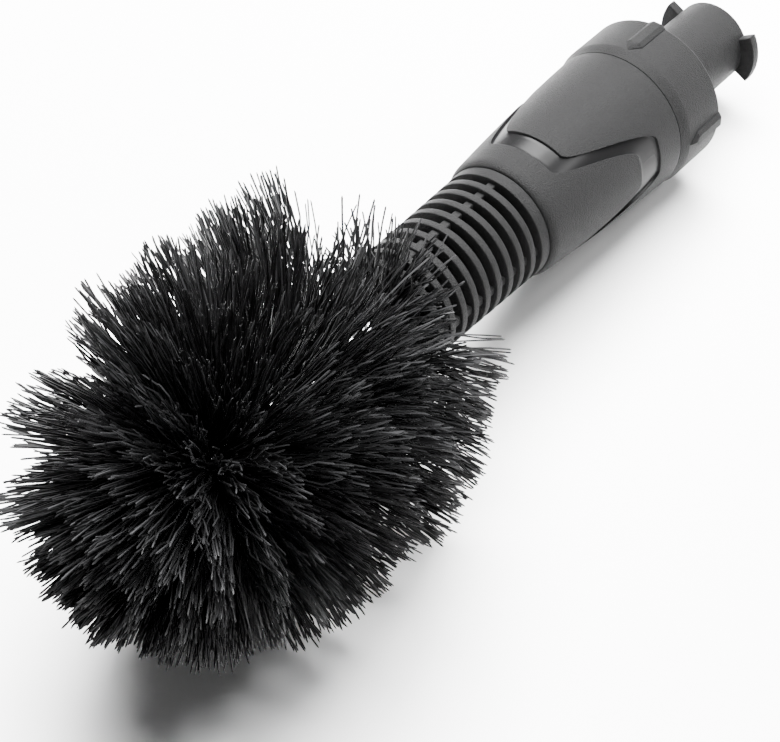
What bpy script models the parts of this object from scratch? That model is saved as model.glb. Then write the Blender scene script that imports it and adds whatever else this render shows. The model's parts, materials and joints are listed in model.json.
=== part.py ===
"""Wheel brush with a bayonet handle, a water-fed neck and a twisted-wire brush head.

Every part is drawn along one straight axis.  A station is the distance in millimetres
from the bayonet end, measured towards the brush head; local +X points back to the
bayonet end.  Angles are measured about the axis from the top (+Z) towards the right
side (-Y).  The whole assembly then lies on the floor, tilted so that the head and the
bottom rib of the collar both touch it.
"""
import math

import bmesh
import bpy
from mathutils import Matrix, Vector

MM = 0.001
GAP = 0.3

# Bayonet shaft, the open tube that plugs into the trigger gun.
SHAFT_RADIUS = 12.0
SHAFT_BORE = 9.6
SHAFT_SHOULDER = 27.3
SHAFT_FRONT_BORE = 4.6
SHAFT_FLANGE_RADIUS = 18.5
SHAFT_FLANGE = (45.0, 49.0)
LUG_RADIUS = 16.3
LUG_SPAN = (0.3, 3.4)
LUG_HALF_ANGLE = math.radians(29.0)

# Collar, the widest ring of the handle, with four grip ribs.
COLLAR_RADIUS = 23.0
COLLAR_REAR = 32.9
COLLAR_BEVEL_START = 48.3
COLLAR_FRONT = 51.6
COLLAR_FRONT_RADIUS = 22.1
RIB_RADIUS = 24.0
RIB_HALF_WIDTH = 2.6
RIB_SHOULDER = 44.8
RIB_POINT = 48.1

# Barrel, the tapered grip with a sunk wavy band.
BARREL_REAR = COLLAR_FRONT + GAP
BARREL_ROUND = 106.8
BARREL_FRONT = 109.1
BARREL_FRONT_RADIUS = 17.7
BARREL_REAR_RADIUS = 22.2
BARREL_TAPER = 0.030
BARREL_SWELL = 0.00062
BARREL_BORE = 16.4
SPIGOT_BORE = 15.2
BAND_DEPTH = 0.8
LOBE_ANGLE = math.radians(80.0)
BAND_REAR_EDGE = (61.7, 93.6, math.radians(14.0), math.radians(54.0))
BAND_FRONT_EDGE = (70.5, 99.8, math.radians(11.5), math.radians(50.0))

# Neck, a cage of thin rings on four bars, through which the water leaves.
NECK_REAR = BARREL_FRONT + GAP
NECK_RADIUS = 17.4
NECK_TAPER = 0.02
NECK_BORE = 13.4
NECK_SPIGOT_RADIUS = SPIGOT_BORE - GAP
NECK_SPIGOT_REAR = 98.0
FIRST_SLOT = 113.1
SLOT_WIDTH = 2.7
SLOT_PITCH = 4.99
SLOT_COUNT = 9
NECK_FRONT = 158.3
BAR_RADIUS = 15.9
BAR_HALF_WIDTH = 1.25

# Sleeve, tube and seals that carry the water from the gun to the slots.
SLEEVE_RADIUS = NECK_BORE - GAP
SLEEVE_BORE = 11.2
SLEEVE_SPAN = (99.0, 156.0)
SLEEVE_WALL = 103.0
SEAL_SEAT_DEPTH = 2.6
SEAL_SEAT_RADIUS = 6.2
SPRAY_HOLE_RADIUS = 0.8
SPRAY_HOLE_SIDES = 6
TUBE_RADIUS = 4.3
TUBE_BORE = 2.6
TUBE_SPAN = (27.6, 107.0)
TUBE_CUP_END = 34.8
TUBE_SEAL_STATION = SLEEVE_WALL + 1.2
TUBE_SEAL_RADIUS = 5.3
TUBE_SEAL_THICKNESS = 0.65
NIPPLE_SPAN = (3.0, 34.0)
NIPPLE_RADIUS = 3.8
NIPPLE_BORE = 1.6
NIPPLE_TAIL = 3.0
NIPPLE_CHAMFER = 0.6
NIPPLE_GROOVE = (6.0, 8.2)
NIPPLE_GROOVE_RADIUS = 2.4
NIPPLE_SEAL_RADIUS = 3.45
NIPPLE_SEAL_THICKNESS = 0.75
NIPPLE_SEAT_RADIUS = 9.3
RETAINER_SPAN = (21.6, 23.9)
RETAINER_BORE = 6.2

# Wire core: one wire folded at the tip, its two legs twisted together.
WIRE_RADIUS = 1.7
TWIST_OFFSET = 1.85
TWIST_PITCH = 15.1
SPLAY_OFFSET = 3.3
FOLD_REACH = 2.2
WIRE_REAR = 148.6
SPLAY_END = 153.0
TWIST_START = 159.0
TWIST_END = 228.2
SOCKET_SPAN = (146.0, 159.2)
SOCKET_RADIUS = SLEEVE_BORE - 0.4
SOCKET_BORE = 5.4
SOCKET_FLOOR = 148.0
SOCKET_BEVEL = 1.5
PIN_STATION = 150.9
PIN_RADIUS = 1.2
PIN_SIDES = 12

# Brush head: an egg-shaped envelope filled by rows of bristles of nearly one length.
# They stand almost square to the wire at the rear and fan forward near its tip.
HEAD_CENTRE = 213.0
HEAD_RADIUS = 52.5
HEAD_FRONT_LENGTH = 69.2
HEAD_REAR_LENGTH = 97.0
CORE_RADIUS = 4.0
FIRST_ROOT = 161.8
WIDEST_ROOT = 216.0
LAST_ROOT = 229.0
ROW_COUNT = 9
ROW_GAP = 0.45
FIRST_TURN = math.radians(128.6)
SHORT_ROW_RADIUS = 33.0
TUFT_ANGLE = math.radians(24.0)
HEAD_SIDES = 24


def clear_scene():
    """Start from an empty scene."""
    for item in list(bpy.data.objects):
        bpy.data.objects.remove(item, do_unlink=True)


def material(name, colour, roughness, metallic=0.0):
    """Return a plain Principled material."""
    made = bpy.data.materials.new(name)
    made.use_nodes = True
    shader = made.node_tree.nodes["Principled BSDF"]
    shader.inputs["Base Color"].default_value = (*colour, 1.0)
    shader.inputs["Roughness"].default_value = roughness
    shader.inputs["Metallic"].default_value = metallic
    return made


def point(station, radius, angle):
    """Place a point given by station, radius and angle, in metres."""
    return Vector((-station, -radius * math.sin(angle), radius * math.cos(angle))) * MM


def finish(name, mesh, look, root):
    """Make a named object from a bmesh and hang it under the root."""
    bmesh.ops.recalc_face_normals(mesh, faces=mesh.faces)
    data = bpy.data.meshes.new(name)
    mesh.to_mesh(data)
    mesh.free()
    data.shade_smooth()
    data.set_sharp_from_angle(angle=math.radians(35.0))
    made = bpy.data.objects.new(name, data)
    made.data.materials.append(look)
    made.parent = root
    bpy.context.scene.collection.objects.link(made)
    return made


def turned_mesh(outline_at, sides, phase=0.0):
    """Sweep an outline about the axis.

    outline_at(angle) lists (station, radius) points.  An outline without a point on the
    axis closes into a ring; one that starts and ends on the axis makes a solid piece.
    """
    mesh = bmesh.new()
    columns = []
    for step in range(sides):
        angle = phase + 2.0 * math.pi * step / sides
        columns.append([(s, r, angle) for s, r in outline_at(angle)])
    solid = columns[0][0][1] == 0.0
    ends = {}
    if solid:
        for index in (0, len(columns[0]) - 1):
            station = columns[0][index][0]
            ends[index] = mesh.verts.new(point(station, 0.0, 0.0))
    grid = []
    for column in columns:
        row = []
        for index, (s, r, angle) in enumerate(column):
            row.append(ends[index] if index in ends else mesh.verts.new(point(s, r, angle)))
        grid.append(row)
    count = len(columns[0])
    spans = count - 1 if solid else count
    for step in range(sides):
        here, there = grid[step], grid[(step + 1) % sides]
        for index in range(spans):
            after = (index + 1) % count
            corners = [here[index], here[after], there[after], there[index]]
            face = list(dict.fromkeys(corners))
            mesh.faces.new(face)
    return mesh


def turned(name, outline, look, root, sides, phase=0.0):
    """Make a turned part from one fixed outline."""
    return finish(name, turned_mesh(lambda angle: outline, sides, phase), look, root)


def prism_mesh(mesh, corners, low, high):
    """Add a closed prism: corners are points on the low end, offset to the high end."""
    bottom = [mesh.verts.new(corner + low) for corner in corners]
    top = [mesh.verts.new(corner + high) for corner in corners]
    mesh.faces.new(bottom)
    mesh.faces.new(list(reversed(top)))
    for index in range(len(corners)):
        after = (index + 1) % len(corners)
        mesh.faces.new([bottom[index], top[index], top[after], bottom[after]])


def cutter(name, mesh, look, root):
    """Make a hidden tool shape for a Boolean modifier."""
    tool = finish(name, mesh, look, root)
    tool.hide_render = True
    tool.display_type = "WIRE"
    return tool


def join_shape(target, tool, operation):
    """Apply a tool shape to a part with the exact solver."""
    modifier = target.modifiers.new(tool.name, "BOOLEAN")
    modifier.object = tool
    modifier.operation = operation
    modifier.solver = "EXACT"


def ease(value):
    """Blend smoothly from 0 to 1."""
    value = min(1.0, max(0.0, value))
    return value * value * (3.0 - 2.0 * value)


def barrel_radius(station):
    """Outer radius of the grip, a taper with a slight swell."""
    run = station - BARREL_REAR
    return BARREL_REAR_RADIUS - BARREL_TAPER * run - BARREL_SWELL * run * run


def band_edge(edge, angle):
    """Station of one edge of the sunk band: level above and below, lobed at the sides."""
    lobe_station, level_station, start, end = edge
    around = abs((angle + math.pi) % (2.0 * math.pi) - math.pi)
    away = abs(around - LOBE_ANGLE)
    return lobe_station + (level_station - lobe_station) * ease((away - start) / (end - start))


def barrel_outline(angle):
    """Section of the grip at one angle, outside from rear to front, then the bore."""
    rear_edge = band_edge(BAND_REAR_EDGE, angle)
    front_edge = band_edge(BAND_FRONT_EDGE, angle)
    wall = 0.15
    middle = 0.5 * (rear_edge + front_edge)
    collar_spigot = SHAFT_FLANGE_RADIUS
    outline = [(SHAFT_FLANGE[1] + GAP, collar_spigot), (BARREL_REAR, collar_spigot)]
    outline.append((BARREL_REAR, barrel_radius(BARREL_REAR)))
    outline.append((0.5 * (BARREL_REAR + rear_edge), barrel_radius(0.5 * (BARREL_REAR + rear_edge))))
    outline.append((rear_edge, barrel_radius(rear_edge)))
    for station in (rear_edge + wall, middle, front_edge - wall):
        outline.append((station, barrel_radius(station) - BAND_DEPTH))
    outline.append((front_edge, barrel_radius(front_edge)))
    outline.append((BARREL_ROUND, barrel_radius(BARREL_ROUND)))
    outline.append((BARREL_FRONT - 0.5, BARREL_FRONT_RADIUS + 0.5))
    outline.append((BARREL_FRONT, BARREL_FRONT_RADIUS))
    outline.append((BARREL_FRONT, SPIGOT_BORE))
    outline.append((NECK_SPIGOT_REAR - GAP, SPIGOT_BORE))
    outline.append((NECK_SPIGOT_REAR - 4.0, BARREL_BORE))
    outline.append((SHAFT_FLANGE[1] + GAP, BARREL_BORE))
    return outline


def neck_radius(station):
    """Outer radius of the neck rings."""
    return NECK_RADIUS - NECK_TAPER * (station - NECK_REAR)


def envelope(turn):
    """Point (station, radius) of the head envelope; turn runs from pi (rear) to 0 (tip)."""
    length = HEAD_FRONT_LENGTH if turn < math.pi / 2.0 else HEAD_REAR_LENGTH
    return HEAD_CENTRE + length * math.cos(turn), HEAD_RADIUS * math.sin(turn)


def make_bayonet_shaft(look, root):
    """Open tube with a front flange and two locking lugs at its very end."""
    flange_rear, flange_front = SHAFT_FLANGE
    outline = [
        (0.0, SHAFT_RADIUS - 0.5), (0.5, SHAFT_RADIUS), (flange_rear, SHAFT_RADIUS),
        (flange_rear, SHAFT_FLANGE_RADIUS), (flange_front, SHAFT_FLANGE_RADIUS),
        (flange_front, SHAFT_FRONT_BORE), (SHAFT_SHOULDER, SHAFT_FRONT_BORE),
        (SHAFT_SHOULDER, SHAFT_BORE), (0.6, SHAFT_BORE), (0.0, SHAFT_BORE + 0.6),
    ]
    shaft = turned("bayonet_shaft", outline, look, root, 40)
    lugs = bmesh.new()
    steps = 6
    inner = SHAFT_RADIUS - 1.0
    for side in (math.pi / 2.0, -math.pi / 2.0):
        sweep = [side + LUG_HALF_ANGLE * (2.0 * step / steps - 1.0) for step in range(steps + 1)]
        corners = [point(0.0, LUG_RADIUS, angle) for angle in sweep]
        corners += [point(0.0, inner, angle) for angle in reversed(sweep)]
        prism_mesh(lugs, corners, point(LUG_SPAN[0], 0.0, 0.0), point(LUG_SPAN[1], 0.0, 0.0))
    join_shape(shaft, cutter("lug_shapes", lugs, look, root), "UNION")
    return shaft


def make_collar(look, root):
    """Ring behind the barrel, with a front bevel and four pointed ribs."""
    outline = [
        (COLLAR_REAR, COLLAR_RADIUS - 0.6), (COLLAR_REAR + 0.6, COLLAR_RADIUS),
        (COLLAR_BEVEL_START, COLLAR_RADIUS), (COLLAR_FRONT, COLLAR_FRONT_RADIUS),
        (COLLAR_FRONT, SHAFT_FLANGE_RADIUS + GAP), (SHAFT_FLANGE[0] - GAP, SHAFT_FLANGE_RADIUS + GAP),
        (SHAFT_FLANGE[0] - GAP, SHAFT_RADIUS + GAP), (COLLAR_REAR, SHAFT_RADIUS + GAP),
    ]
    collar = turned("bayonet_collar", outline, look, root, 48)
    ribs = bmesh.new()
    plan = [
        (COLLAR_REAR, -RIB_HALF_WIDTH), (RIB_SHOULDER, -RIB_HALF_WIDTH), (RIB_POINT, 0.0),
        (RIB_SHOULDER, RIB_HALF_WIDTH), (COLLAR_REAR, RIB_HALF_WIDTH),
    ]
    for quarter in range(4):
        turn = Matrix.Rotation(quarter * math.pi / 2.0, 3, "X")
        corners = [turn @ (Vector((-s, w, 0.0)) * MM) for s, w in plan]
        low = turn @ Vector((0.0, 0.0, (COLLAR_RADIUS - 2.0) * MM))
        high = turn @ Vector((0.0, 0.0, RIB_RADIUS * MM))
        prism_mesh(ribs, corners, low, high)
    join_shape(collar, cutter("rib_shapes", ribs, look, root), "UNION")
    return collar


def make_neck(look, root):
    """Cage of rings joined by four bars, with a spigot that enters the barrel."""
    rings = bmesh.new()
    spans = [(NECK_SPIGOT_REAR, FIRST_SLOT)]
    for slot in range(1, SLOT_COUNT):
        rear = FIRST_SLOT + SLOT_WIDTH + (slot - 1) * SLOT_PITCH
        spans.append((rear, FIRST_SLOT + slot * SLOT_PITCH))
    spans.append((FIRST_SLOT + (SLOT_COUNT - 1) * SLOT_PITCH + SLOT_WIDTH, NECK_FRONT))
    for index, (rear, front) in enumerate(spans):
        outline = [
            (rear, neck_radius(rear)), (front, neck_radius(front)),
            (front, NECK_BORE), (rear, NECK_BORE),
        ]
        if index == 0:
            outline[0:1] = [
                (rear, NECK_SPIGOT_RADIUS), (NECK_REAR, NECK_SPIGOT_RADIUS),
                (NECK_REAR, neck_radius(NECK_REAR)),
            ]
        ring = turned_mesh(lambda angle, shape=outline: shape, 32)
        data = bpy.data.meshes.new("ring")
        ring.to_mesh(data)
        ring.free()
        rings.from_mesh(data)
        bpy.data.meshes.remove(data)
    neck = finish("ribbed_neck", rings, look, root)
    bars = bmesh.new()
    for quarter in range(4):
        turn = Matrix.Rotation(quarter * math.pi / 2.0, 3, "X")
        rear, front = FIRST_SLOT - 1.0, NECK_FRONT - 1.0
        plan = [(rear, -BAR_HALF_WIDTH), (front, -BAR_HALF_WIDTH), (front, BAR_HALF_WIDTH),
                (rear, BAR_HALF_WIDTH)]
        corners = [turn @ (Vector((-s, w, 0.0)) * MM) for s, w in plan]
        low = turn @ Vector((0.0, 0.0, (NECK_BORE + 0.2) * MM))
        high = turn @ Vector((0.0, 0.0, BAR_RADIUS * MM))
        prism_mesh(bars, corners, low, high)
    join_shape(neck, cutter("bar_shapes", bars, look, root), "UNION")
    return neck


def make_sleeve(look, root):
    """Liner behind the slots, with a rear wall for the tube and rings of spray holes."""
    rear, front = SLEEVE_SPAN
    seal_seat = SLEEVE_WALL + SEAL_SEAT_DEPTH
    outline = [
        (rear, SLEEVE_RADIUS), (front, SLEEVE_RADIUS), (front, SLEEVE_BORE),
        (seal_seat, SLEEVE_BORE), (seal_seat, SEAL_SEAT_RADIUS), (SLEEVE_WALL, SEAL_SEAT_RADIUS),
        (SLEEVE_WALL, TUBE_RADIUS + GAP), (rear, TUBE_RADIUS + GAP),
    ]
    sleeve = turned("distributor_sleeve", outline, look, root, 32)
    holes = bmesh.new()
    for slot in range(0, SLOT_COUNT - 1, 2):
        station = FIRST_SLOT + SLOT_WIDTH / 2.0 + slot * SLOT_PITCH
        for quarter in range(4):
            turn = Matrix.Rotation(math.pi / 4.0 + quarter * math.pi / 2.0, 3, "X")
            corners = []
            for step in range(SPRAY_HOLE_SIDES):
                angle = 2.0 * math.pi * step / SPRAY_HOLE_SIDES
                offset = Vector((math.cos(angle), math.sin(angle), 0.0)) * SPRAY_HOLE_RADIUS
                corners.append(turn @ ((offset - Vector((station, 0.0, 0.0))) * MM))
            low = turn @ Vector((0.0, 0.0, (SLEEVE_BORE - 1.0) * MM))
            high = turn @ Vector((0.0, 0.0, (SLEEVE_RADIUS + 1.0) * MM))
            prism_mesh(holes, corners, low, high)
    join_shape(sleeve, cutter("spray_hole_shapes", holes, look, root), "DIFFERENCE")
    return sleeve


def ring_outline(station, radius, thickness, sides=8):
    """Round section of a seal ring."""
    turns = [2.0 * math.pi * step / sides for step in range(sides)]
    return [(station - thickness * math.cos(t), radius + thickness * math.sin(t)) for t in turns]


def make_water_path(plastic, brass, rubber, steel, root):
    """Nipple with its seal and retainer, and the tube that leads to the sleeve."""
    seat_rear, seat_front = RETAINER_SPAN[1] + GAP, SHAFT_SHOULDER - GAP
    rear, front = NIPPLE_SPAN
    groove_rear, groove_front = NIPPLE_GROOVE
    nipple = [
        (rear, NIPPLE_RADIUS - NIPPLE_CHAMFER), (rear + NIPPLE_CHAMFER, NIPPLE_RADIUS),
        (groove_rear, NIPPLE_RADIUS), (groove_rear, NIPPLE_GROOVE_RADIUS),
        (groove_front, NIPPLE_GROOVE_RADIUS), (groove_front, NIPPLE_RADIUS),
        (seat_rear, NIPPLE_RADIUS), (seat_rear, NIPPLE_SEAT_RADIUS),
        (seat_front, NIPPLE_SEAT_RADIUS), (seat_front, NIPPLE_TAIL), (front, NIPPLE_TAIL),
        (front, NIPPLE_BORE), (rear, NIPPLE_BORE),
    ]
    turned("inlet_nipple", nipple, brass, root, 24)
    seal = ring_outline(0.5 * (groove_rear + groove_front), NIPPLE_SEAL_RADIUS, NIPPLE_SEAL_THICKNESS)
    turned("nipple_o_ring", seal, rubber, root, 24)
    rear, front = RETAINER_SPAN
    retainer = [
        (rear, NIPPLE_SEAT_RADIUS), (front, NIPPLE_SEAT_RADIUS), (front, RETAINER_BORE),
        (rear, RETAINER_BORE),
    ]
    turned("nipple_retaining_ring", retainer, steel, root, 32)
    rear, front = TUBE_SPAN
    tube = [
        (rear, TUBE_RADIUS), (front, TUBE_RADIUS), (front, TUBE_BORE), (TUBE_CUP_END, TUBE_BORE),
        (TUBE_CUP_END, NIPPLE_TAIL + GAP), (rear, NIPPLE_TAIL + GAP),
    ]
    turned("water_tube", tube, plastic, root, 24)
    seal = ring_outline(TUBE_SEAL_STATION, TUBE_SEAL_RADIUS, TUBE_SEAL_THICKNESS)
    turned("tube_o_ring", seal, rubber, root, 24)


def make_socket(look, steel, root):
    """Plug that closes the neck and holds the wire, with its cross pin."""
    rear, front = SOCKET_SPAN
    flange_rear = SLEEVE_SPAN[1] + GAP
    outline = [
        (rear, 0.0), (rear, SOCKET_RADIUS), (flange_rear, SOCKET_RADIUS),
        (flange_rear, SLEEVE_RADIUS), (front, SLEEVE_RADIUS - SOCKET_BEVEL), (front, SOCKET_BORE),
        (SOCKET_FLOOR, SOCKET_BORE), (SOCKET_FLOOR, 0.0),
    ]
    socket = turned("core_socket", outline, look, root, 32)
    pin_hole = cross_rod(PIN_RADIUS + GAP, SOCKET_RADIUS + 1.0)
    join_shape(socket, cutter("pin_hole_shape", pin_hole, look, root), "DIFFERENCE")
    finish("core_pin", cross_rod(PIN_RADIUS, SOCKET_RADIUS - 0.2), steel, root)


def cross_rod(radius, reach):
    """A rod from side to side through the axis, where the pin sits."""
    mesh = bmesh.new()
    turns = [2.0 * math.pi * step / PIN_SIDES for step in range(PIN_SIDES)]
    centre = Vector((-PIN_STATION, 0.0, 0.0))
    corners = [(centre + Vector((math.cos(t), 0.0, math.sin(t))) * radius) * MM for t in turns]
    side = Vector((0.0, reach * MM, 0.0))
    prism_mesh(mesh, corners, -side, side)
    return mesh


def wire_leg(station, side):
    """Centre of one leg of the wire: splayed at the pin, twisted further on."""
    offset = SPLAY_OFFSET + (TWIST_OFFSET - SPLAY_OFFSET) * ease(
        (station - SPLAY_END) / (TWIST_START - SPLAY_END))
    turn = 2.0 * math.pi * max(0.0, station - SPLAY_END) / TWIST_PITCH
    return point(station, offset, side + turn)


def make_wire(look, root):
    """One wire: a leg forward, the fold at the tip, and the other leg back."""
    stations = [WIRE_REAR, 0.5 * (WIRE_REAR + SPLAY_END)]
    steps = 60
    stations += [SPLAY_END + (TWIST_END - SPLAY_END) * step / steps for step in range(steps + 1)]
    route = [wire_leg(station, 0.0) for station in stations]
    last_turn = 2.0 * math.pi * (TWIST_END - SPLAY_END) / TWIST_PITCH
    fold_steps = 8
    for step in range(1, fold_steps):
        bend = math.pi * step / fold_steps
        reach = TWIST_END + FOLD_REACH * math.sin(bend)
        route.append(point(reach, TWIST_OFFSET * math.cos(bend), last_turn))
    route += [wire_leg(station, math.pi) for station in reversed(stations)]
    curve = bpy.data.curves.new("core_wire", "CURVE")
    curve.dimensions = "3D"
    curve.bevel_depth = WIRE_RADIUS * MM
    curve.bevel_resolution = 1
    curve.use_fill_caps = True
    spline = curve.splines.new("POLY")
    spline.points.add(len(route) - 1)
    for place, spot in zip(spline.points, route):
        place.co = (*spot, 1.0)
    made = bpy.data.objects.new("core_wire", curve)
    made.data.materials.append(look)
    made.parent = root
    bpy.context.scene.collection.objects.link(made)


def root_station(turn):
    """Station on the wire of the bristles whose tips lie at one turn of the envelope."""
    widest = math.pi / 2.0
    if turn > widest:
        share = (turn - widest) / (FIRST_TURN - widest)
        return WIDEST_ROOT + (FIRST_ROOT - WIDEST_ROOT) * share
    share = (widest - turn) / (widest - TUFT_ANGLE)
    return WIDEST_ROOT + (LAST_ROOT - WIDEST_ROOT) * share


def border_root(turn, side):
    """Root station beside the border at one turn: side is -1 behind it and 1 before it."""
    station, radius = envelope(turn)
    rise = radius - CORE_RADIUS
    slant = math.hypot(station - root_station(turn), rise) / rise
    return root_station(turn) + side * 0.5 * ROW_GAP * slant


def make_bristles(look, root):
    """Rows of bristles as stacked cups, root on the wire and tips on the envelope."""
    row_turn = (TUFT_ANGLE - FIRST_TURN) / ROW_COUNT
    turns = [FIRST_TURN + row_turn * row for row in range(ROW_COUNT + 1)]
    trim = 0.5 * ROW_GAP / HEAD_RADIUS
    phase = math.pi / HEAD_SIDES
    steps = 3
    for row in range(ROW_COUNT):
        rear_turn, front_turn = turns[row] - trim, turns[row + 1] + trim
        outline = [(border_root(turns[row], 1.0), CORE_RADIUS)]
        for step in range(steps + 1):
            outline.append(envelope(rear_turn + (front_turn - rear_turn) * step / steps))
        outline.append((border_root(turns[row + 1], -1.0), CORE_RADIUS))
        if row == 0:
            outline = shorten(outline)
        turned(f"bristle_row_{row + 1}", outline, look, root, HEAD_SIDES, phase)
    wire_tip = TWIST_END + FOLD_REACH + WIRE_RADIUS + 0.4
    outline = [(wire_tip, 0.0), (wire_tip, CORE_RADIUS), (border_root(TUFT_ANGLE, 1.0), CORE_RADIUS)]
    steps = 4
    for step in range(steps):
        outline.append(envelope((TUFT_ANGLE - trim) * (1.0 - step / steps)))
    outline.append((HEAD_CENTRE + HEAD_FRONT_LENGTH, 0.0))
    turned("bristle_tip_tuft", outline, look, root, HEAD_SIDES, phase)


def shorten(outline):
    """Cut the rearmost row down to its shorter bristles."""
    base = outline[0]
    kept = [base]
    for station, radius in outline[1:-1]:
        share = min(1.0, (SHORT_ROW_RADIUS - base[1]) / (radius - base[1]))
        kept.append((base[0] + (station - base[0]) * share, base[1] + (radius - base[1]) * share))
    kept.append(outline[-1])
    return kept


def rest_tilt():
    """Tilt at which the head and the bottom rib touch the same floor."""
    flat = math.cos(math.pi / HEAD_SIDES)
    samples = [envelope(math.pi * step / 400.0) for step in range(60, 280)]
    low, high = 0.0, math.radians(20.0)
    for _ in range(40):
        tilt = 0.5 * (low + high)
        head = max(r * flat * math.cos(tilt) - s * math.sin(tilt) for s, r in samples)
        rib = RIB_RADIUS * math.cos(tilt) - COLLAR_REAR * math.sin(tilt)
        if head > rib:
            low = tilt
        else:
            high = tilt
    return tilt


def lay_on_floor(root):
    """Tilt the assembly and put the middle of its underside at the origin."""
    root.rotation_euler = (0.0, rest_tilt(), 0.0)
    bpy.context.view_layer.update()
    graph = bpy.context.evaluated_depsgraph_get()
    low, high = Vector((9.0, 9.0, 9.0)), Vector((-9.0, -9.0, -9.0))
    for item in bpy.context.scene.objects:
        if item.type == "EMPTY" or item.hide_render:
            continue
        shape = item.evaluated_get(graph)
        data = shape.to_mesh()
        for vertex in data.vertices:
            spot = shape.matrix_world @ vertex.co
            low = Vector(map(min, low, spot))
            high = Vector(map(max, high, spot))
        shape.to_mesh_clear()
    middle = 0.5 * (low + high)
    root.location = (-middle.x, -middle.y, -low.z)
    bpy.context.view_layer.update()


def main():
    clear_scene()
    root = bpy.data.objects.new("brush_axis", None)
    bpy.context.scene.collection.objects.link(root)
    charcoal = material("charcoal_plastic", (0.060, 0.060, 0.062), 0.55)
    black = material("black_plastic", (0.020, 0.020, 0.021), 0.45)
    white = material("natural_plastic", (0.62, 0.62, 0.58), 0.45)
    brass = material("brass", (0.75, 0.55, 0.25), 0.3, 1.0)
    rubber = material("seal_rubber", (0.015, 0.015, 0.015), 0.7)
    steel = material("steel", (0.55, 0.55, 0.56), 0.3, 1.0)
    bristle = material("bristle_black", (0.012, 0.012, 0.013), 0.5)
    make_bayonet_shaft(charcoal, root)
    make_collar(charcoal, root)
    finish("grip_barrel", turned_mesh(barrel_outline, 48), charcoal, root)
    make_neck(charcoal, root)
    make_sleeve(black, root)
    make_water_path(white, brass, rubber, steel, root)
    make_socket(black, steel, root)
    make_wire(steel, root)
    make_bristles(bristle, root)
    lay_on_floor(root)


main()
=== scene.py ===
"""Looks of the wheel brush: fine handle pieces, thousands of bristles, floor and light.

Everything is drawn along the brush's own axis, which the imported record's mounts give.
A station is the distance in millimetres from the bayonet end towards the brush head.
Angles are measured about the axis from the top towards the right side.
"""
import json
import math

import bmesh
import bpy
import numpy as np
from mathutils import Matrix, Vector


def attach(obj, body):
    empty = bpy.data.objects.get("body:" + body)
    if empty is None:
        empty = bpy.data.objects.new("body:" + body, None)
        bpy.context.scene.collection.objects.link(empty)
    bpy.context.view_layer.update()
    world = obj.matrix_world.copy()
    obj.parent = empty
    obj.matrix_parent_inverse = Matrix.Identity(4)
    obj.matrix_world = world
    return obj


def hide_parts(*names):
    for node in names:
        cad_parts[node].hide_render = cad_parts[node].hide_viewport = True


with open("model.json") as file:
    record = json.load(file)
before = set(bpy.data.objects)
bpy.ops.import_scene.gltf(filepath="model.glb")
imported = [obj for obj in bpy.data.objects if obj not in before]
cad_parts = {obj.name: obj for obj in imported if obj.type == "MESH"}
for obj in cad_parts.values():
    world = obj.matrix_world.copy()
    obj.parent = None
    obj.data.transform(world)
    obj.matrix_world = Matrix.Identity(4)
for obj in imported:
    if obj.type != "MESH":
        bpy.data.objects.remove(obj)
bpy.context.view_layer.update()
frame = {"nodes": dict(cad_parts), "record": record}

MM = 0.001
BODY = "root"

# Brush frame, from the mounts on the bayonet end. The lugs reach over this span of stations.
LUG_SPAN = (0.3, 3.4)
MOUNTS = {mount["name"]: mount for mount in frame["record"]["mounts"]}
AXIS = Vector(MOUNTS["collar_seat"]["axis"]).normalized()
LEFT = Vector((0.0, 1.0, 0.0))
TOP = AXIS.cross(LEFT)
LUG_MIDDLE = 0.5 * (Vector(MOUNTS["lug_lock_right"]["pos_m"]) + Vector(MOUNTS["lug_lock_left"]["pos_m"]))
ORIGIN = LUG_MIDDLE + AXIS * LUG_SPAN[1] * MM

# Handle sizes in millimetres, as the CAD has them. The collar ribs are finer here than there.
SHAFT_RADIUS = 12.0
SHAFT_BORE = 9.6
SHAFT_SHOULDER = 27.3
SHAFT_INNER_END = 45.0
SHAFT_INNER_BORE = 4.6
SHAFT_FIT = 0.2
LUG_RADIUS = 16.3
LUG_HALF_ANGLE = math.radians(29.0)
COLLAR_RADIUS = 23.0
COLLAR_REAR = 32.9
COLLAR_BEVEL_START = 48.3
COLLAR_FRONT = 51.6
COLLAR_FRONT_RADIUS = 22.1
COLLAR_RECESS = 18.8
RIB_HALF_WIDTH = 2.6
RIB_SHOULDER = 44.8
RIB_POINT = 48.1
RIB_WALL = 0.25
RIB_HEIGHT = 1.05
RIB_FLANK = 0.65
RIB_SLANT = 0.79
RIB_APRON = 2.6
BARREL_REAR = 51.8
BARREL_ROUND = 106.4
BARREL_FRONT = 109.2
BARREL_REAR_RADIUS = 22.2
BARREL_TAPER = 0.030
BARREL_SWELL = 0.00062
BARREL_BORE = 16.4
BARREL_MOUTH = 15.2
BARREL_LIP_FALL = 1.25
BAND_DEPTH = 0.75
LOBE_ANGLE = math.radians(80.0)
BAND_REAR_EDGE = (61.7, 93.6, math.radians(14.0), math.radians(54.0))
BAND_FRONT_EDGE = (70.5, 99.8, math.radians(11.5), math.radians(50.0))
NECK_REAR = 109.4
NECK_RADIUS = 17.4
NECK_TAPER = 0.02
NECK_BORE = 13.4
FIRST_SLOT = 113.1
SLOT_WIDTH = 2.7
SLOT_PITCH = 4.99
SLOT_COUNT = 9
NECK_FRONT = 158.3
BAR_RADIUS = 15.9
BAR_FOOT_RADIUS = 13.5
BAR_HALF_WIDTH = 1.25

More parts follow.
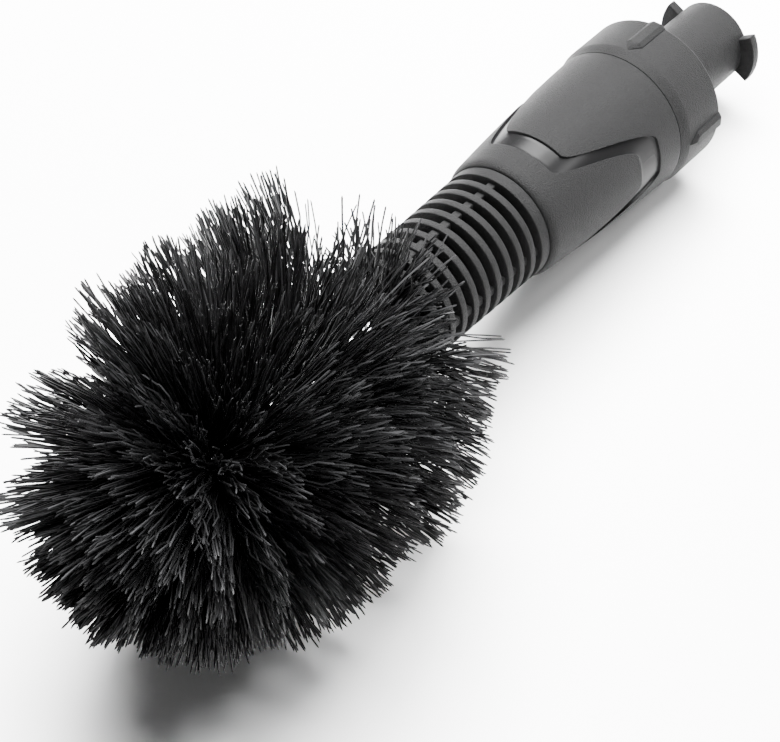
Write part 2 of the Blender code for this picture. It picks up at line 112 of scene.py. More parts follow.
# Head sizes in millimetres. A turn is an angle about the head centre, and rows count from the rear.
HEAD_CENTRE = 213.0
HEAD_RADIUS = 52.5
HEAD_FRONT_LENGTH = 69.2
HEAD_REAR_LENGTH = 97.0
ROW_COUNT = 9
FIRST_TURN = math.radians(128.6)
LAST_TURN = math.radians(24.0)
HELIX_START = 0.35
HELIX_SIDE = math.radians(75.0)
HELIX_LEAD = 1.5
DOME_ROW = 3.3

# Short bristles at the rear, before the helix starts: rows, and shares that are kept.
SHORT_ROWS = 0.8
SHORT_SHARE = 0.8
SPARSE_SHARE = 0.12
REAR_ROWS = 1.0
REAR_REACH = 0.88
LEAN_BACK = 14.0
LEAN_WIDTH = 60.0

# Where the full-length bristles start later, in degrees and rows.
NOTCH_ANGLE = 5.0
NOTCH_WIDTH = 24.0
NOTCH_ROWS = 0.9

# Tufts and notches that shape the outline as the camera sees it.
# Each has its angle in degrees, row, rows per degree, width in degrees, width in rows and gain.
TUFTS = (
    (-42.0, 1.3, 0.0, 26.0, 0.7, 0.13),
    (-60.0, 2.4, 0.0, 20.0, 0.4, -0.03),
    (-65.0, 3.9, 0.030, 25.0, 0.5, 0.08),
    (-55.0, 5.3, 0.033, 45.0, 0.33, -0.42),
    (-75.0, 6.3, 0.030, 35.0, 0.5, 0.13),
    (-68.0, 7.5, 0.032, 50.0, 0.26, -0.36),
    (-82.0, 8.4, 0.030, 32.0, 0.6, 0.11),
    (-95.0, 9.1, 0.037, 40.0, 0.30, -0.34),
    (60.0, 1.6, 0.0, 25.0, 0.5, -0.05),
)

# Twisted wire.
WIRE_RADIUS = 1.7
TWIST_OFFSET = 1.85
TWIST_PITCH = 15.1
TWIST_START = 159.0
TWIST_END = 228.2

# Strands, whose roots lie along the wire at stations that follow the envelope turn.
STRAND_COUNT = 7400
STRAND_RADIUS = 0.24
STRAND_RINGS = 9
STRAND_SIDES = 4
STRAND_CRIMP = 0.42
STRAND_BOW = 1.0
STRAND_HOOK = 0.6
BEVELLED_END = 0.35
TONE_SHARES = (0.35, 0.45, 0.20)
ROOT_TURNS = np.radians((0.0, 24.0, 60.0, 90.0, 128.6))
ROOT_STATIONS = (231.5, 231.0, 230.0, 222.0, 161.8)

# Lights, in metres and watts: name, direction in the brush frame, width, height and power.
LIGHT_DISTANCE = 1.0
LIGHT_AIM_STATION = 150.0
SOFTBOXES = (
    ("key_softbox", (0.57, -0.51, 0.64), 0.32, 0.045, 6.0),
    ("back_softbox", (0.45, 0.30, 0.84), 0.6, 0.5, 66.0),
    ("top_softbox", (0.18, 0.10, 1.0), 1.0, 0.9, 146.0),
)
WORLD_STRENGTH = 0.14

# Camera, placed in metres in the brush frame, with its lens and sensor in millimetres.
CAMERA_PLACE = Vector((-0.52686, -0.29043, 0.42314))
CAMERA_AZIMUTH = math.radians(-51.79)
CAMERA_ELEVATION = math.radians(43.34)
CAMERA_ROLL = math.radians(0.34)
SENSOR_WIDTH = 36.0
LENS_LENGTH = 110.769


def place(station, radius, angle):
    """World position of a point given by station, radius and angle."""
    across = TOP * math.cos(angle) - LEFT * math.sin(angle)
    return ORIGIN + (across * radius - AXIS * station) * MM


def place_all(station, radius, angle):
    """The same for arrays; the last axis of the result holds x, y and z."""
    axis, left, top, origin = (np.array(v) for v in (AXIS, LEFT, TOP, ORIGIN))
    across = np.cos(angle)[..., None] * top - np.sin(angle)[..., None] * left
    return origin + (across * radius[..., None] - station[..., None] * axis) * MM


def ease(value):
    """Blend smoothly from 0 to 1."""
    value = np.clip(value, 0.0, 1.0)
    return value * value * (3.0 - 2.0 * value)


# Materials ---------------------------------------------------------------------------


def new_material(name, colour, roughness, metallic=0.0):
    """A Principled material and its shader and node tree."""
    made = bpy.data.materials.new(name)
    made.use_nodes = True
    tree = made.node_tree
    shader = tree.nodes["Principled BSDF"]
    shader.inputs["Base Color"].default_value = (*colour, 1.0)
    shader.inputs["Roughness"].default_value = roughness
    shader.inputs["Metallic"].default_value = metallic
    return made, shader, tree


def noise(tree, scale, detail):
    """A noise texture in object space, in metres."""
    where = tree.nodes.new("ShaderNodeTexCoord")
    made = tree.nodes.new("ShaderNodeTexNoise")
    made.inputs["Scale"].default_value = scale
    made.inputs["Detail"].default_value = detail
    tree.links.new(where.outputs["Object"], made.inputs["Vector"])
    return made.outputs["Fac"]


def vary_colour(tree, shader, fac, dark, light):
    """Drive the base colour between two tones."""
    ramp = tree.nodes.new("ShaderNodeMix")
    ramp.data_type = "RGBA"
    ramp.inputs[6].default_value = (*dark, 1.0)
    ramp.inputs[7].default_value = (*light, 1.0)
    tree.links.new(fac, ramp.inputs[0])
    tree.links.new(ramp.outputs[2], shader.inputs["Base Color"])


def vary_roughness(tree, shader, fac, low, high):
    """Drive the roughness between two values."""
    spread = tree.nodes.new("ShaderNodeMapRange")
    spread.inputs["To Min"].default_value = low
    spread.inputs["To Max"].default_value = high
    tree.links.new(fac, spread.inputs["Value"])
    tree.links.new(spread.outputs["Result"], shader.inputs["Roughness"])


def add_bump(tree, shader, fac, strength, depth):
    """Raise and lower the surface a little by a pattern."""
    bump = tree.nodes.new("ShaderNodeBump")
    bump.inputs["Strength"].default_value = strength
    bump.inputs["Distance"].default_value = depth
    tree.links.new(fac, bump.inputs["Height"])
    tree.links.new(bump.outputs["Normal"], shader.inputs["Normal"])


CHARCOAL_DARK = (0.001, 0.001, 0.001)
CHARCOAL_LIGHT = (0.0155, 0.0155, 0.0157)
FILAMENTS = (("deep", 0.003, 0.36), ("mid", 0.008, 0.32), ("light", 0.018, 0.28))


def grained_plastic():
    """Charcoal plastic with the fine grain of a spark-eroded mould."""
    made, shader, tree = new_material("grained_charcoal", CHARCOAL_LIGHT, 0.5)
    shader.inputs["Specular IOR Level"].default_value = 0.02
    grain = noise(tree, 2900.0, 3.0)
    vary_colour(tree, shader, grain, CHARCOAL_DARK, CHARCOAL_LIGHT)
    vary_roughness(tree, shader, grain, 0.42, 0.55)
    add_bump(tree, shader, grain, 1.0, 0.00030)
    return made


def smooth_plastic(name, tone, low, high):
    """Polished plastic with faint flow marks."""
    made, shader, tree = new_material(name, tone, low)
    shader.inputs["Specular IOR Level"].default_value = 0.04
    flow = noise(tree, 60.0, 2.0)
    lighter = tuple(1.25 * part for part in tone)
    vary_colour(tree, shader, flow, tone, lighter)
    vary_roughness(tree, shader, flow, low, high)
    return made


def drawn_metal(name, tone, low, high):
    """Bright metal with fine wear in its polish."""
    made, shader, tree = new_material(name, tone, low, 1.0)
    wear = noise(tree, 900.0, 4.0)
    vary_colour(tree, shader, wear, tuple(0.8 * part for part in tone), tone)
    vary_roughness(tree, shader, wear, low, high)
    return made


def bristle_tones():
    """Three tones of black filament, with no pattern of their own, shared by all rows."""
    tones = []
    for name, level, roughness in FILAMENTS:
        made, shader, tree = new_material(f"filament_{name}", (level, level, level * 1.04), roughness)
        shader.inputs["Specular IOR Level"].default_value = 0.08
        tones.append(made)
    return tones


# Mesh helpers ------------------------------------------------------------------------


def build_mesh(name, points, quads, materials, picks=None, sharp=35.0):
    """A shaded mesh object from arrays of points and quads."""
    data = bpy.data.meshes.new(name)
    data.vertices.add(len(points))
    data.vertices.foreach_set("co", points.astype(np.float32).ravel())
    data.loops.add(quads.size)
    data.loops.foreach_set("vertex_index", quads.astype(np.int32).ravel())
    data.polygons.add(len(quads))
    data.polygons.foreach_set("loop_start", np.arange(0, quads.size, 4, dtype=np.int32))
    for made in materials:
        data.materials.append(made)
    if picks is not None:
        data.polygons.foreach_set("material_index", picks.astype(np.int32))
    data.update(calc_edges=True)
    data.shade_smooth()
    data.set_sharp_from_angle(angle=math.radians(sharp))
    made = bpy.data.objects.new(name, data)
    bpy.context.scene.collection.objects.link(made)
    return made


def wrap_grid(points):
    """Quads over a grid of points that closes on itself both ways."""
    rows, columns = points.shape[:2]
    index = np.arange(rows * columns).reshape(rows, columns)
    below, right = np.roll(index, -1, 0), np.roll(index, -1, 1)
    both = np.roll(below, -1, 1)
    return np.stack([index, right, both, below], -1).reshape(-1, 4)


def facing_out(points, quads):
    """Turn the quads round if they enclose a negative volume."""
    centre = points.mean(0)
    a, b, c, d = (points[quads[:, k]] - centre for k in range(4))
    volume = np.einsum("ij,ij->i", a, np.cross(b, c) + np.cross(c, d)).sum()
    return quads if volume > 0.0 else quads[:, ::-1]


def closed_grid(name, station, radius, angle, materials, picks=None, sharp=35.0):
    """A closed piece from arrays of station, radius and angle over outline and turn."""
    spots = place_all(station, radius, angle)
    quads = wrap_grid(spots)
    flat = spots.reshape(-1, 3)
    return build_mesh(name, flat, facing_out(flat, quads), materials, picks, sharp)


def lathe(name, outline, materials, sides=144, sharp=35.0):
    """A ring-shaped piece turned from a closed outline of (station, radius) points."""
    turn = 2.0 * math.pi * np.arange(sides) / sides
    shape = np.array(outline)
    station = np.repeat(shape[:, :1], sides, 1)
    radius = np.repeat(shape[:, 1:], sides, 1)
    angle = np.repeat(turn[None, :], len(shape), 0)
    return closed_grid(name, station, radius, angle, materials, None, sharp)


def rounded(outline, fillet, steps=3):
    """Round every corner of a closed outline with a small arc."""
    shape = np.array(outline, float)
    made = []
    for here, before, after in zip(shape, np.roll(shape, 1, 0), np.roll(shape, -1, 0)):
        back, ahead = before - here, after - here
        reach = min(fillet, 0.45 * np.linalg.norm(back), 0.45 * np.linalg.norm(ahead))
        start = here + back / np.linalg.norm(back) * reach
        end = here + ahead / np.linalg.norm(ahead) * reach
        for step in range(steps + 1):
            t = step / steps
            made.append((1 - t) ** 2 * start + 2 * t * (1 - t) * here + t * t * end)
    return made


def join_loops(mesh, ends):
    """Side faces between two capped loops of vertices."""
    count = len(ends[0])
    for index in range(count):
        after = (index + 1) % count
        mesh.faces.new([ends[0][index], ends[0][after], ends[1][after], ends[1][index]])
    bmesh.ops.recalc_face_normals(mesh, faces=mesh.faces)


def bevelled_piece(name, mesh, edges, width, material):
    """Bevel some edges of a mesh and make it a shaded object."""
    bmesh.ops.bevel(mesh, geom=edges, offset=width * MM, segments=3, profile=0.5, affect="EDGES")
    data = bpy.data.meshes.new(name)
    mesh.to_mesh(data)
    mesh.free()
    data.materials.append(material)
    data.shade_smooth()
    data.set_sharp_from_angle(angle=math.radians(40.0))
    piece = bpy.data.objects.new(name, data)
    bpy.context.scene.collection.objects.link(piece)
    return piece


def settle(piece, slot, *nodes):
    """Make a piece ride on the body and stand for its CAD nodes."""
    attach(piece, BODY)
    if nodes:
        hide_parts(*nodes)


# Handle ------------------------------------------------------------------------------


def barrel_radius(station):
    """Outer radius of the grip."""
    run = station - BARREL_REAR
    return BARREL_REAR_RADIUS - BARREL_TAPER * run - BARREL_SWELL * run * run


def band_edge(edge, angle):
    """Station of one edge of the sunk band at each angle."""
    lobe_station, level_station, start, end = edge
    around = np.abs((angle + math.pi) % (2.0 * math.pi) - math.pi)
    away = np.abs(around - LOBE_ANGLE)
    return lobe_station + (level_station - lobe_station) * ease((away - start) / (end - start))


def make_barrel(grained, polished):
    """Tapered grip with the sunk wavy band, its front edge rounded."""
    angle = np.radians(np.arange(0.0, 360.0, 1.0))
    rear, front = band_edge(BAND_REAR_EDGE, angle), band_edge(BAND_FRONT_EDGE, angle)
    rows = []

    def add(station, sink):
        station = np.broadcast_to(station, angle.shape)
        rows.append((station, barrel_radius(station) - sink))

    rows.append((np.full_like(angle, BARREL_REAR), np.full_like(angle, BARREL_BORE)))
    add(BARREL_REAR, 0.35)
    add(BARREL_REAR + 0.12, 0.08)
    for share in np.linspace(0.0, 1.0, 14):
        add(BARREL_REAR + 0.35 + (rear - 0.4 - BARREL_REAR - 0.35) * share, 0.0)
    lip = ((-0.12, 0.0), (0.0, 0.06), (0.06, 0.2), (0.12, 0.55), (0.2, BAND_DEPTH - 0.05))
    for offset, sink in lip:
        add(rear + offset, sink)
    floor_start = len(rows)
    for share in np.linspace(0.0, 1.0, 7):
        add(rear + 0.35 + (front - rear - 0.7) * share, BAND_DEPTH)
    floor_end = len(rows)
    for offset, sink in reversed(lip):
        add(front - offset, sink)
    for share in np.linspace(0.0, 1.0, 14):
        add(front + 0.4 + (BARREL_ROUND - front - 0.4) * share, 0.0)
    arc_steps = 7
    for step in range(1, arc_steps + 1):
        turn = 0.5 * math.pi * step / arc_steps
        station = BARREL_ROUND + (BARREL_FRONT - BARREL_ROUND) * math.sin(turn)
        radius = barrel_radius(BARREL_ROUND) - 0.25 * math.sin(turn)
        radius -= BARREL_LIP_FALL * (1.0 - math.cos(turn))
        rows.append((np.full_like(angle, station), np.full_like(angle, radius)))
    rows.append((np.full_like(angle, BARREL_FRONT), np.full_like(angle, BARREL_MOUTH)))
    rows.append((np.full_like(angle, BARREL_FRONT - 6.0), np.full_like(angle, BARREL_MOUTH)))
    rows.append((np.full_like(angle, BARREL_FRONT - 10.0), np.full_like(angle, BARREL_BORE)))
    station = np.array([row[0] for row in rows])
    radius = np.array([row[1] for row in rows])
    picks = np.zeros(station.shape, int)
    picks[floor_start - 3:floor_end + 2] = 1
    piece = closed_grid("grip_shell", station, radius, np.broadcast_to(angle, station.shape),
                        [grained, polished], picks.ravel(), 28.0)
    settle(piece, "charcoal_plastic", "grip_barrel")


def rib_columns():
    """Columns round the collar: position across a rib, or plain angle between ribs."""
    inside = np.linspace(-1.0, 1.0, 9)
    outside = (0.1, 0.4, 0.9, 1.6, RIB_APRON)
    columns = []
    for quarter in range(4):
        middle = quarter * math.pi / 2.0
        for gap in reversed(outside):
            columns.append((middle, -1.0, -gap))
        for share in inside:
            columns.append((middle, share, 0.0))
        for gap in outside:
            columns.append((middle, 1.0, gap))
        free = (RIB_HALF_WIDTH + outside[-1]) / COLLAR_RADIUS
        for step in range(1, 24):
            columns.append((middle + free + (math.pi / 2.0 - 2.0 * free) * step / 24, 0.0, None))
    return columns


def make_collar(grained):
    """Collar ring with its front bevel and four pointed, roof-shaped ribs."""
    stations = [COLLAR_REAR, COLLAR_REAR + 0.15, COLLAR_REAR + 0.5]
    stations += list(np.linspace(COLLAR_REAR + 2.0, RIB_SHOULDER, 8))
    stations += list(np.linspace(RIB_SHOULDER + 0.4, RIB_POINT, 9))
    edge_drop = {0: 0.5, 1: 0.15}
    columns = rib_columns()
    grid_s, grid_r, grid_a = [], [], []

    def add(station, base, drop, with_ribs):
        narrowing = min(1.0, max(0.02, (RIB_POINT - station) / (RIB_POINT - RIB_SHOULDER)))
        half = RIB_HALF_WIDTH * narrowing
        slant = 1.0 if narrowing == 1.0 else RIB_SLANT
        radii, angles = [], []
        for middle, share, gap in columns:
            if gap is None:
                radii.append(base - drop)
                angles.append(middle)
                continue
            spread = (RIB_HALF_WIDTH - half) * abs(gap) / RIB_APRON
            across = share * half + gap + math.copysign(spread, gap) * bool(gap)
            rise = 0.0
            if gap == 0.0 and with_ribs:
                rise = min(RIB_HEIGHT, RIB_WALL + RIB_FLANK * slant * half * (1.0 - abs(share)))
                rise *= min(1.0, narrowing * 8.0 - 0.16)
            radii.append(base - drop + rise)
            angles.append(middle + across / COLLAR_RADIUS)
        grid_s.append([station] * len(columns))
        grid_r.append(radii)
        grid_a.append(angles)

    add(COLLAR_REAR, SHAFT_RADIUS + SHAFT_FIT, 0.0, False)
    for index, station in enumerate(stations):
        add(station, COLLAR_RADIUS, edge_drop.get(index, 0.0), True)
    add(COLLAR_BEVEL_START, COLLAR_RADIUS, 0.0, False)
    middle = 0.5 * (COLLAR_BEVEL_START + COLLAR_FRONT)
    add(middle, 0.5 * (COLLAR_RADIUS + COLLAR_FRONT_RADIUS), 0.0, False)
    add(COLLAR_FRONT, COLLAR_FRONT_RADIUS, 0.0, False)
    add(COLLAR_FRONT, COLLAR_RECESS, 0.0, False)
    add(SHAFT_INNER_END, COLLAR_RECESS, 0.0, False)
    add(SHAFT_INNER_END, SHAFT_RADIUS + SHAFT_FIT, 0.0, False)
    piece = closed_grid("collar_ring", np.array(grid_s), np.array(grid_r), np.array(grid_a), [grained],
                        None, 20.0)
    settle(piece, "charcoal_plastic", "bayonet_collar")


def make_shaft(grained):
    """Open shaft tube and its two locking lugs."""
    outline = [
        (0.0, SHAFT_RADIUS), (SHAFT_INNER_END, SHAFT_RADIUS), (SHAFT_INNER_END, SHAFT_INNER_BORE),
        (SHAFT_SHOULDER, SHAFT_INNER_BORE), (SHAFT_SHOULDER, SHAFT_BORE), (0.0, SHAFT_BORE),
    ]
    settle(lathe("shaft_tube", rounded(outline, 0.5), [grained]), "charcoal_plastic", "bayonet_shaft")
    steps = 24
    for name, side in (("shaft_lug_right", 1.0), ("shaft_lug_left", -1.0)):
        sweep = side * math.pi / 2.0 + LUG_HALF_ANGLE * (2.0 * np.arange(steps + 1) / steps - 1.0)
        mesh = bmesh.new()
        ends = []
        for station in LUG_SPAN:
            outer = [mesh.verts.new(place(station, LUG_RADIUS, angle)) for angle in sweep]
            inner = [mesh.verts.new(place(station, SHAFT_RADIUS - 1.0, angle)) for angle in sweep[::-1]]
            ends.append(outer + inner)
            mesh.faces.new(ends[-1])
        join_loops(mesh, ends)
        sharp = [edge for edge in mesh.edges if edge.calc_face_angle() > math.radians(30.0)]
        piece = bevelled_piece(name, mesh, sharp, 0.35, grained)
        settle(piece, "charcoal_plastic", "bayonet_shaft")


def neck_radius(station):
    """Outer radius of the neck rings."""
    return NECK_RADIUS - NECK_TAPER * (station - NECK_REAR)


def make_neck(grained):
    """Rings of the water cage with rounded rims, and the four bars that join them."""
    spans = [(NECK_REAR, FIRST_SLOT)]
    for slot_number in range(SLOT_COUNT):
        rear = FIRST_SLOT + SLOT_WIDTH + slot_number * SLOT_PITCH
        last = slot_number == SLOT_COUNT - 1
        spans.append((rear, NECK_FRONT if last else rear + SLOT_PITCH - SLOT_WIDTH))
    for number, (rear, front) in enumerate(spans):
        outline = [(rear, neck_radius(rear)), (front, neck_radius(front)), (front, NECK_BORE),
                   (rear, NECK_BORE)]
        piece = lathe(f"neck_ring_{number}", rounded(outline, 0.35), [grained], 160)
        settle(piece, "charcoal_plastic", "ribbed_neck")
    section = ((-1, BAR_FOOT_RADIUS), (1, BAR_FOOT_RADIUS), (1, BAR_RADIUS), (-1, BAR_RADIUS))
    rear, front = FIRST_SLOT - 1.0, NECK_FRONT - 1.0
    for number in range(4):
        middle = number * math.pi / 2.0
        mesh = bmesh.new()
        ends = []
        for station in (rear, front):
            corners = []
            for across, radius in section:
                angle = middle + across * BAR_HALF_WIDTH / radius
                corners.append(mesh.verts.new(place(station, radius, angle)))
            ends.append(corners)
            mesh.faces.new(corners)
        join_loops(mesh, ends)
        piece = bevelled_piece(f"neck_bar_{number}", mesh, list(mesh.edges), 0.4, grained)
        settle(piece, "charcoal_plastic", "ribbed_neck")


def make_inlet(brass, rubber):
    """Nipple and its seal, seen inside the open shaft."""
    nipple = [
        (3.0, 3.8), (6.0, 3.8), (6.0, 2.4), (8.2, 2.4), (8.2, 3.8), (24.2, 3.8), (24.2, 9.3),
        (27.0, 9.3), (27.0, 3.0), (34.0, 3.0), (34.0, 1.6), (3.0, 1.6),
    ]
    settle(lathe("nipple_body", rounded(nipple, 0.25), [brass], 96), "brass", "inlet_nipple")
    turns = 2.0 * math.pi * np.arange(16) / 16
    ring = [(7.1 - 0.75 * math.cos(t), 3.45 + 0.75 * math.sin(t)) for t in turns]
    settle(lathe("nipple_seal", ring, [rubber], 96, 60.0), "seal_rubber", "nipple_o_ring")


# Head --------------------------------------------------------------------------------


def make_wire(steel):
    """The folded and twisted wire that the bristles are caught in."""
    stations = np.linspace(TWIST_START, TWIST_END, 150)
    turn = 2.0 * math.pi * (stations - TWIST_START) / TWIST_PITCH
    route = [place(s, TWIST_OFFSET, t) for s, t in zip(stations, turn)]
    steps = 12
    for step in range(1, steps):
        bend = math.pi * step / steps
        reach = TWIST_END + 2.2 * math.sin(bend)
        route.append(place(reach, TWIST_OFFSET * math.cos(bend), turn[-1]))
    route += [place(s, TWIST_OFFSET, t + math.pi) for s, t in zip(stations[::-1], turn[::-1])]
    curve = bpy.data.curves.new("twisted_wire", "CURVE")
    curve.dimensions = "3D"
    curve.bevel_depth = WIRE_RADIUS * MM
    curve.bevel_resolution = 4
    curve.use_fill_caps = True
    spline = curve.splines.new("POLY")
    spline.points.add(len(route) - 1)
    for spot, where in zip(spline.points, route):
        spot.co = (*where, 1.0)
    curve.materials.append(steel)
    piece = bpy.data.objects.new("twisted_wire", curve)
    bpy.context.scene.collection.objects.link(piece)
    settle(piece, "steel", "core_wire")


def envelope(turn):
    """Station and radius of the head envelope, from pi at the rear to 0 at the tip."""
    length = np.where(turn < math.pi / 2.0, HEAD_FRONT_LENGTH, HEAD_REAR_LENGTH)
    return HEAD_CENTRE + length * np.cos(turn), HEAD_RADIUS * np.sin(turn)


def row_turn(row):
    """Envelope turn of a place along the rows, 0 at the rear."""
    return FIRST_TURN + (LAST_TURN - FIRST_TURN) * row / ROW_COUNT


def signed_turn(angle, middle):
    """Angle from a middle given in degrees, in degrees and between -180 and 180."""
    return (np.degrees(angle) - middle + 180.0) % 360.0 - 180.0


def first_row(angle):
    """Row at which the full-length bristles begin: the helix starts low on the right side."""
    notch = NOTCH_ROWS * np.exp(-(signed_turn(angle, NOTCH_ANGLE) / NOTCH_WIDTH) ** 2)
    return HELIX_LEAD * ((angle - HELIX_SIDE) % (2.0 * math.pi)) / (2.0 * math.pi) + notch


def uneven(angle, row):
    """Share by which the bristles stand longer or shorter in some places."""
    total = np.zeros_like(angle)
    for middle, place_row, slope, width, rows, gain in TUFTS:
        off = signed_turn(angle, middle)
        total += gain * np.exp(-(off / width) ** 2 - ((row - place_row - slope * off) / rows) ** 2)
    return total


def strand_plan(random):
    """Root and tip of every bristle, in fans that follow one helix round the wire."""
    wanted = random.uniform(0.0, ROW_COUNT + 1.9, 4 * STRAND_COUNT)
    around = random.uniform(0.0, 2.0 * math.pi, len(wanted))
    crowd = np.where(wanted < DOME_ROW, 1.0, 0.2 + 0.5 * np.sin(np.maximum(row_turn(wanted), 0.0)))
    rear_crowd = np.where(wanted < SHORT_ROWS, SHORT_SHARE, SPARSE_SHARE)
    crowd *= np.where(wanted < first_row(around), rear_crowd, 1.0)
    kept = random.uniform(0.0, 1.0, len(wanted)) < crowd
    row, angle = wanted[kept][:STRAND_COUNT], around[kept][:STRAND_COUNT]
    count = len(row)
    helix = (row - angle / (2.0 * math.pi) + HELIX_START) % 1.0 - 0.5
    middle = row - helix
    gap = 0.42 + 0.12 * np.sin(2.0 * angle + 1.7 * middle) + 0.06 * np.sin(5.0 * angle + 4.0 * middle)
    drift = 0.09 * np.sin(3.0 * angle + 2.1 * middle) + 0.05 * np.sin(8.0 * angle - 3.3 * middle)
    tip_row = middle + helix * (1.0 - gap) + drift + random.normal(0.0, 0.03, count)
    short = row < first_row(angle)
    tip_turn = row_turn(np.where(short, 0.4 * tip_row, tip_row))
    tip_station, tip_radius = envelope(np.abs(tip_turn))
    lean = np.exp(-(signed_turn(angle, NOTCH_ANGLE) / LEAN_WIDTH) ** 2)
    tip_station -= short * lean * random.uniform(0.0, LEAN_BACK, count)
    clump = 0.050 * np.sin(17.0 * angle + 5.0 * row) + 0.040 * np.sin(29.0 * angle - 9.0 * row)
    tip_angle = angle + clump + random.normal(0.0, 0.025, count)
    root_turn = np.abs(row_turn(middle + 0.25 * helix))
    root_station = np.interp(root_turn, ROOT_TURNS, ROOT_STATIONS)
    root_radius = 2.2 + random.uniform(0.0, 1.2, count)
    bow = 1.0 - 0.16 * np.abs(2.0 * helix) ** 3
    lumps = 1.0 + uneven(angle, row)
    lumps += 0.025 * np.sin(5.0 * angle + 2.0 * middle) + 0.02 * np.sin(11.0 * angle - 3.0 * middle)
    reach = bow * lumps * random.normal(0.985, 0.016, count)
    stray = random.uniform(0.0, 1.0, count) < 0.012
    reach[stray] *= random.uniform(1.02, 1.06, stray.sum())
    reach *= np.where(short, random.uniform(0.42, 0.62 + 0.28 * lean, count), 1.0)
    reach *= np.where(row < REAR_ROWS, REAR_REACH, 1.0)
    return row, angle, root_station, root_radius, tip_station, tip_radius, tip_angle, reach


def make_bristles(tones):
    """Every bristle as a fine crimped strand, one piece for each row."""
    random = np.random.default_rng(11)
    row, angle, root_s, root_r, tip_s, tip_r, tip_a, reach = strand_plan(random)
    roots = place_all(root_s, root_r, angle)
    tips = place_all(tip_s, tip_r, tip_a)
    tips = roots + (tips - roots) * reach[:, None]
    length = np.linalg.norm(tips - roots, axis=1)
    straight = (tips - roots) / length[:, None]
    helper = np.array(LEFT) * 0.8 + np.array(TOP) * 0.6
    side = np.cross(straight, helper)
    side /= np.linalg.norm(side, axis=1)[:, None]
    other = np.cross(straight, side)
    share = np.append(np.linspace(0.0, 0.988, STRAND_RINGS - 1), 1.0)
    count = len(row)
    waves = []
    for _ in range(2):
        size = random.normal(0.0, STRAND_CRIMP * MM, (count, 1))
        beats = random.uniform(1.4, 3.0, (count, 1))
        start = random.uniform(0.0, 2.0 * math.pi, (count, 1))
        bow = random.normal(0.0, STRAND_BOW * MM, (count, 1))
        hook = random.normal(0.0, STRAND_HOOK * MM, (count, 1))
        swing = size * (np.sin(2.0 * math.pi * beats * share + start) - np.sin(start)) * ease(share * 2.0)
        waves.append(swing + bow * (share - share ** 2) * 4.0 + hook * share ** 5)
    spine = roots[:, None, :] + straight[:, None, :] * (length[:, None] * share)[..., None]
    spine += side[:, None, :] * waves[0][..., None] + other[:, None, :] * waves[1][..., None]
    rest_on_floor(spine, random)
    thick = STRAND_RADIUS * MM * random.uniform(0.85, 1.15, (count, 1, 1, 1))
    corner = 2.0 * math.pi * np.arange(STRAND_SIDES) / STRAND_SIDES
    ring = side[:, None, :] * np.cos(corner)[None, :, None]
    ring += other[:, None, :] * np.sin(corner)[None, :, None]
    tube = spine[:, :, None, :] + ring[:, None, :, :] * thick
    tube[:, -1] = spine[:, -1, None, :] + ring * thick[:, 0] * BEVELLED_END
    tone = random.choice(3, count, p=TONE_SHARES)
    number = np.clip(row.astype(int), 0, ROW_COUNT)
    for index in range(ROW_COUNT + 1):
        chosen = number == index
        name = f"bristles_{index + 1}" if index < ROW_COUNT else "bristles_tip"
        node = f"bristle_row_{index + 1}" if index < ROW_COUNT else "bristle_tip_tuft"
        add_strands(name, node, tube[chosen], tone[chosen], tones)


def rest_on_floor(spine, random):
    """Bend the points that would pass through the floor, so that they lie on it."""
    floor = 0.0006 + 0.0016 * random.random((len(spine), 1))
    height = spine[..., 2]
    below = np.maximum(0.0, floor - height)
    spine[..., 2] = np.maximum(height, floor)
    spread = np.sign(spine[:, -1:, 1] - spine[:, :1, 1])
    spine[..., 1] += 0.8 * below * spread


def add_strands(name, node, tube, tone, tones):
    """One piece of closed strands from their rings of points."""
    count, rings, sides = tube.shape[:3]
    index = np.arange(count * rings * sides).reshape(count, rings, sides)
    turned = np.roll(index, -1, 2)
    walls = np.stack([index[:, :-1], turned[:, :-1], turned[:, 1:], index[:, 1:]], -1)
    walls = walls.reshape(count, -1, 4)
    caps = np.stack([index[:, 0, ::-1], index[:, -1]], 1)
    quads = np.concatenate([walls, caps], 1)
    picks = np.repeat(tone, quads.shape[1])
    piece = build_mesh(name, tube.reshape(-1, 3), quads.reshape(-1, 4), tones, picks, 60.0)
    settle(piece, "bristle_black", node)


# Stage -------------------------------------------------------------------------------


def make_floor():
    """Plain pale floor."""
    made, shader, tree = new_material("floor", (0.86, 0.86, 0.86), 0.9)
    shader.inputs["Specular IOR Level"].default_value = 0.1
    bpy.ops.mesh.primitive_plane_add(size=8.0, location=(0.0, 0.0, 0.0))
    floor = bpy.context.object
    floor.name = "floor"
    floor.data.materials.append(made)


def brush_direction(along, left, up):
    """A direction given in the brush frame, in world axes."""
    return (AXIS * along + LEFT * left + TOP * up).normalized()


def add_softbox(name, direction, width, height, power):
    """A rectangular area light that faces the brush."""
    middle = place(LIGHT_AIM_STATION, 0.0, 0.0)
    data = bpy.data.lights.new(name, "AREA")
    data.shape = "RECTANGLE"
    data.size = width
    data.size_y = height
    data.energy = power
    lamp = bpy.data.objects.new(name, data)
    lamp.location = middle + direction * LIGHT_DISTANCE
    lamp.rotation_euler = direction.to_track_quat("Z", "Y").to_euler()
    bpy.context.scene.collection.objects.link(lamp)


def make_lights():
    """Soft studio light, mostly from overhead."""
    for name, direction, width, height, power in SOFTBOXES:
        add_softbox(name, brush_direction(*direction), width, height, power)
    world = bpy.data.worlds.new("studio")
    world.use_nodes = True
    shade = world.node_tree.nodes["Background"]
    shade.inputs["Color"].default_value = (1.0, 1.0, 1.0, 1.0)
    shade.inputs["Strength"].default_value = WORLD_STRENGTH
    bpy.context.scene.world = world


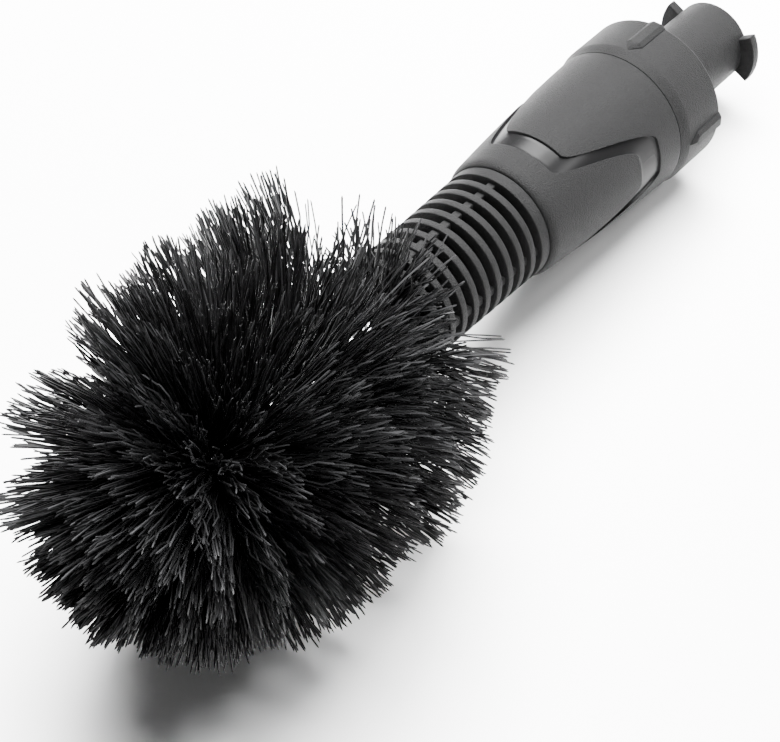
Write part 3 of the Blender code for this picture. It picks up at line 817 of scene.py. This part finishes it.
def make_camera():
    """Long-lens camera beyond the head, looking back along the brush from above."""
    level = math.cos(CAMERA_ELEVATION)
    forward = Vector((-math.sin(CAMERA_AZIMUTH) * level, math.cos(CAMERA_AZIMUTH) * level,
                      -math.sin(CAMERA_ELEVATION)))
    right = forward.cross(Vector((0.0, 0.0, 1.0))).normalized()
    right.rotate(Matrix.Rotation(CAMERA_ROLL, 3, forward))
    up = right.cross(forward)
    to_world = Matrix((AXIS, LEFT, TOP)).transposed()
    turn = to_world @ Matrix((right, up, -forward)).transposed()
    data = bpy.data.cameras.new("camera")
    data.sensor_width = SENSOR_WIDTH
    data.lens = LENS_LENGTH
    camera = bpy.data.objects.new("camera", data)
    camera.matrix_world = Matrix.Translation(ORIGIN + to_world @ CAMERA_PLACE) @ turn.to_4x4()
    bpy.context.scene.collection.objects.link(camera)
    bpy.context.scene.camera = camera


def dress_cad(nodes):
    """Give the CAD nodes that stay visible their better materials."""
    for name, made in nodes.items():
        item = frame["nodes"][name]
        for slot in item.material_slots:
            slot.material = made


def main():
    """Materials, pieces and stage."""
    grained = grained_plastic()
    polished = smooth_plastic("polished_band", (0.0036, 0.0036, 0.0037), 0.22, 0.30)
    black = smooth_plastic("black_liner", (0.004, 0.004, 0.004), 0.65, 0.75)
    natural = smooth_plastic("natural_tube", (0.55, 0.55, 0.50), 0.35, 0.45)
    rubber = smooth_plastic("seal_rubber", (0.012, 0.012, 0.012), 0.55, 0.65)
    brass = drawn_metal("turned_brass", (0.78, 0.57, 0.27), 0.2, 0.35)
    steel = drawn_metal("drawn_steel", (0.55, 0.55, 0.56), 0.22, 0.36)
    dress_cad({
        "distributor_sleeve": black, "core_socket": black, "water_tube": natural,
        "tube_o_ring": rubber, "nipple_retaining_ring": steel, "core_pin": steel,
    })
    make_barrel(grained, polished)
    make_collar(grained)
    make_shaft(grained)
    make_neck(grained)
    make_inlet(brass, rubber)
    make_wire(steel)
    make_bristles(bristle_tones())
    make_camera()
    make_floor()
    make_lights()


main()
